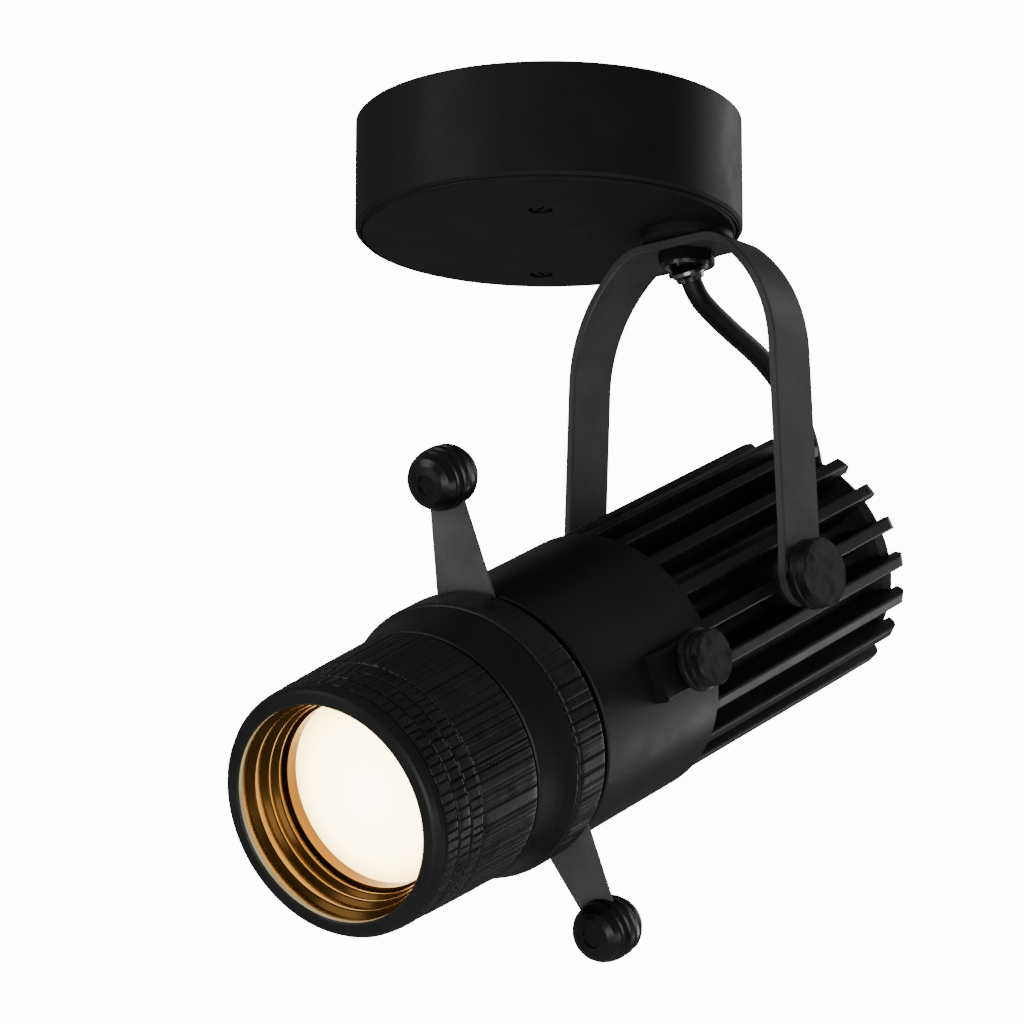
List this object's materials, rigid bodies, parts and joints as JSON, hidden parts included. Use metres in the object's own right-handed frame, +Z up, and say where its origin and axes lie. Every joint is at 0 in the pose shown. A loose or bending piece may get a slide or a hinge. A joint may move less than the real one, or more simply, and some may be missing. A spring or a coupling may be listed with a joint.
{
  "type": "ellipsoidal spotlight",
  "caption": "Ceiling-canopy ellipsoidal spotlight: off-centre swivel, flat-bar yoke, finned LED head, shutter levers, ribbed zoom ring and knurled focus barrel.",
  "frame": {"origin": "centre of the canopy ceiling face, where the light meets the ceiling", "axes": "+Z up into the ceiling, the light hangs below it along -Z; +X from the canopy centre to the pan swivel; at rest the head points towards -X -Y and 27 degrees below the horizontal"},
  "size_m": [0.2109, 0.2343, 0.2879],
  "materials": {
    "black_paint": "satin black powder coat",
    "barrel_paint": "smooth satin black paint on aluminium",
    "yoke_paint": "satin black powder coat on steel strap",
    "shutter_paint": "matte black coated steel blade",
    "bezel_paint": "satin black paint on aluminium",
    "black_anodised": "black anodised extrusion",
    "black_steel": "blackened steel",
    "steel": "bright steel",
    "grip_ring": "bright metal cord grip",
    "zinc_steel": "zinc plated steel",
    "driver_case": "white flame-retardant plastic",
    "terminal": "off-white plastic",
    "black_moulding": "matte black moulding",
    "barrel_moulding": "matte black glass-filled moulding",
    "knob_moulding": "satin black moulding",
    "white_moulding": "white moulding",
    "knob_rubber": "glossy black rubber",
    "cord_jacket": "matte black flexible jacket",
    "nylon": "black nylon",
    "led_board": "white solder mask on aluminium",
    "led_phosphor": "yellow phosphor",
    "reflector": "polished reflector",
    "lens_glass": "clear optical glass"
  },
  "bodies": {
    "canopy": {"canopy_shell": "black_paint", "cover_plate": "black_paint", "cover_screw_1": "black_steel", "cover_screw_2": "black_steel", "standoff_1": "steel", "standoff_2": "steel", "ceiling_bracket": "zinc_steel", "led_driver": "driver_case", "terminal_block": "terminal", "swivel_boss": "black_moulding"},
    "yoke": {"yoke_bar": "yoke_paint", "swivel_stem": "steel", "swivel_nut": "black_steel", "swivel_washer": "steel", "cord_grip": "grip_ring", "friction_disc": "nylon", "power_cord": "cord_jacket"},
    "head": {"heat_sink": "black_anodised", "pivot_stud_right": "steel", "friction_washer_right": "nylon", "pivot_stud_left": "steel", "friction_washer_left": "nylon", "rear_cap": "black_paint", "cap_screw_1": "black_steel", "cap_screw_2": "black_steel", "cap_screw_3": "black_steel", "rear_gland_body": "black_moulding", "rear_gland_nut": "black_moulding", "led_board": "led_board", "led_emitter": "led_phosphor", "led_holder": "white_moulding", "reflector": "reflector"},
    "knob_right": {"pivot_knob_right": "knob_moulding"},
    "knob_left": {"pivot_knob_left": "knob_moulding"},
    "barrel": {"barrel_sleeve": "barrel_paint", "lock_block": "barrel_paint", "gate_plate": "black_steel", "front_housing": "barrel_paint"},
    "lock_knob": {"lock_knob": "knob_moulding"},
    "carrier_upper": {"shutter_carrier_upper": "steel"},
    "shutter_upper": {"shutter_upper": "shutter_paint", "shutter_knob_upper": "knob_rubber"},
    "carrier_lower": {"shutter_carrier_lower": "steel"},
    "shutter_lower": {"shutter_lower": "shutter_paint", "shutter_knob_lower": "knob_rubber"},
    "zoom_ring": {"zoom_ring": "barrel_moulding"},
    "zoom_carriage": {"zoom_carriage": "black_moulding", "zoom_lens": "lens_glass"},
    "focus_barrel": {"focus_barrel": "barrel_moulding", "grip_band_1": "barrel_moulding", "grip_band_2": "barrel_moulding", "grip_band_3": "barrel_moulding", "front_bezel": "bezel_paint", "baffle_hood": "black_moulding"},
    "lens_cell": {"lens_cell": "black_moulding", "front_lens": "lens_glass", "lens_retainer": "black_moulding"}
  },
  "joints": [
    {"name": "pan", "type": "hinge", "parent": "canopy", "child": "yoke", "pos_m": [0.045, 0, -0.0385], "axis": [0, 0, 1], "range_deg": [-170, 170]},
    {"name": "tilt", "type": "hinge", "parent": "yoke", "child": "head", "pos_m": [0.045, 0, -0.1595], "axis": [0.7716, -0.6361, 0], "range_deg": [-37, 45], "deforming": ["power_cord"]},
    {"name": "pivot_knob_right_turn", "type": "hinge", "parent": "head", "child": "knob_right", "pos_m": [0.045, 0, -0.1595], "axis": [0.7716, -0.6361, 0], "range_deg": [0, 180]},
    {"name": "pivot_knob_left_turn", "type": "hinge", "parent": "head", "child": "knob_left", "pos_m": [0.045, 0, -0.1595], "axis": [-0.7716, 0.6361, 0], "range_deg": [0, 180]},
    {"name": "barrel_roll", "type": "hinge", "parent": "head", "child": "barrel", "pos_m": [0.00148, -0.05279, -0.20143], "axis": [-0.5667, -0.6875, -0.454], "range_deg": [-25, 25]},
    {"name": "lock_knob_turn", "type": "hinge", "parent": "barrel", "child": "lock_knob", "pos_m": [0.04503, -0.07542, -0.19621], "axis": [0.7716, -0.6361, 0], "range_deg": [0, 270]},
    {"name": "shutter_upper_slide", "type": "slide", "parent": "barrel", "child": "carrier_upper", "axis": [-0.1761, -0.4372, 0.882], "range_m": [-0.011, 0]},
    {"name": "shutter_upper_swing", "type": "hinge", "parent": "carrier_upper", "child": "shutter_upper", "pos_m": [-0.02429, -0.09223, -0.18466], "axis": [-0.5667, -0.6875, -0.454], "range_deg": [-10, 10]},
    {"name": "shutter_lower_slide", "type": "slide", "parent": "barrel", "child": "carrier_lower", "axis": [0.632, -0.0093, -0.7749], "range_m": [-0.0042, 0.0035]},
    {"name": "shutter_lower_swing", "type": "hinge", "parent": "carrier_lower", "child": "shutter_lower", "pos_m": [0.00018, -0.07748, -0.24063], "axis": [-0.5667, -0.6875, -0.454], "range_deg": [-10, 10]},
    {"name": "zoom_turn", "type": "hinge", "parent": "barrel", "child": "zoom_ring", "pos_m": [-0.02289, -0.08236, -0.22095], "axis": [-0.5667, -0.6875, -0.454], "range_deg": [-60, 48]},
    {"name": "zoom_slide", "type": "slide", "parent": "barrel", "child": "zoom_carriage", "axis": [-0.5667, -0.6875, -0.454], "range_m": [-0.0061, 0.005]},
    {"name": "focus_turn", "type": "hinge", "parent": "barrel", "child": "focus_barrel", "pos_m": [-0.04669, -0.11123, -0.24002], "axis": [-0.5667, -0.6875, -0.454], "range_deg": [-150, 10]},
    {"name": "focus_slide", "type": "slide", "parent": "barrel", "child": "lens_cell", "axis": [-0.5667, -0.6875, -0.454], "range_m": [-0.0051, 0.0004]}
  ],
  "couplings": [
    {"joint": "zoom_slide", "follows": "zoom_turn", "m_per_rad": 0.0057},
    {"joint": "focus_slide", "follows": "focus_turn", "m_per_rad": 0.0019}
  ]
}
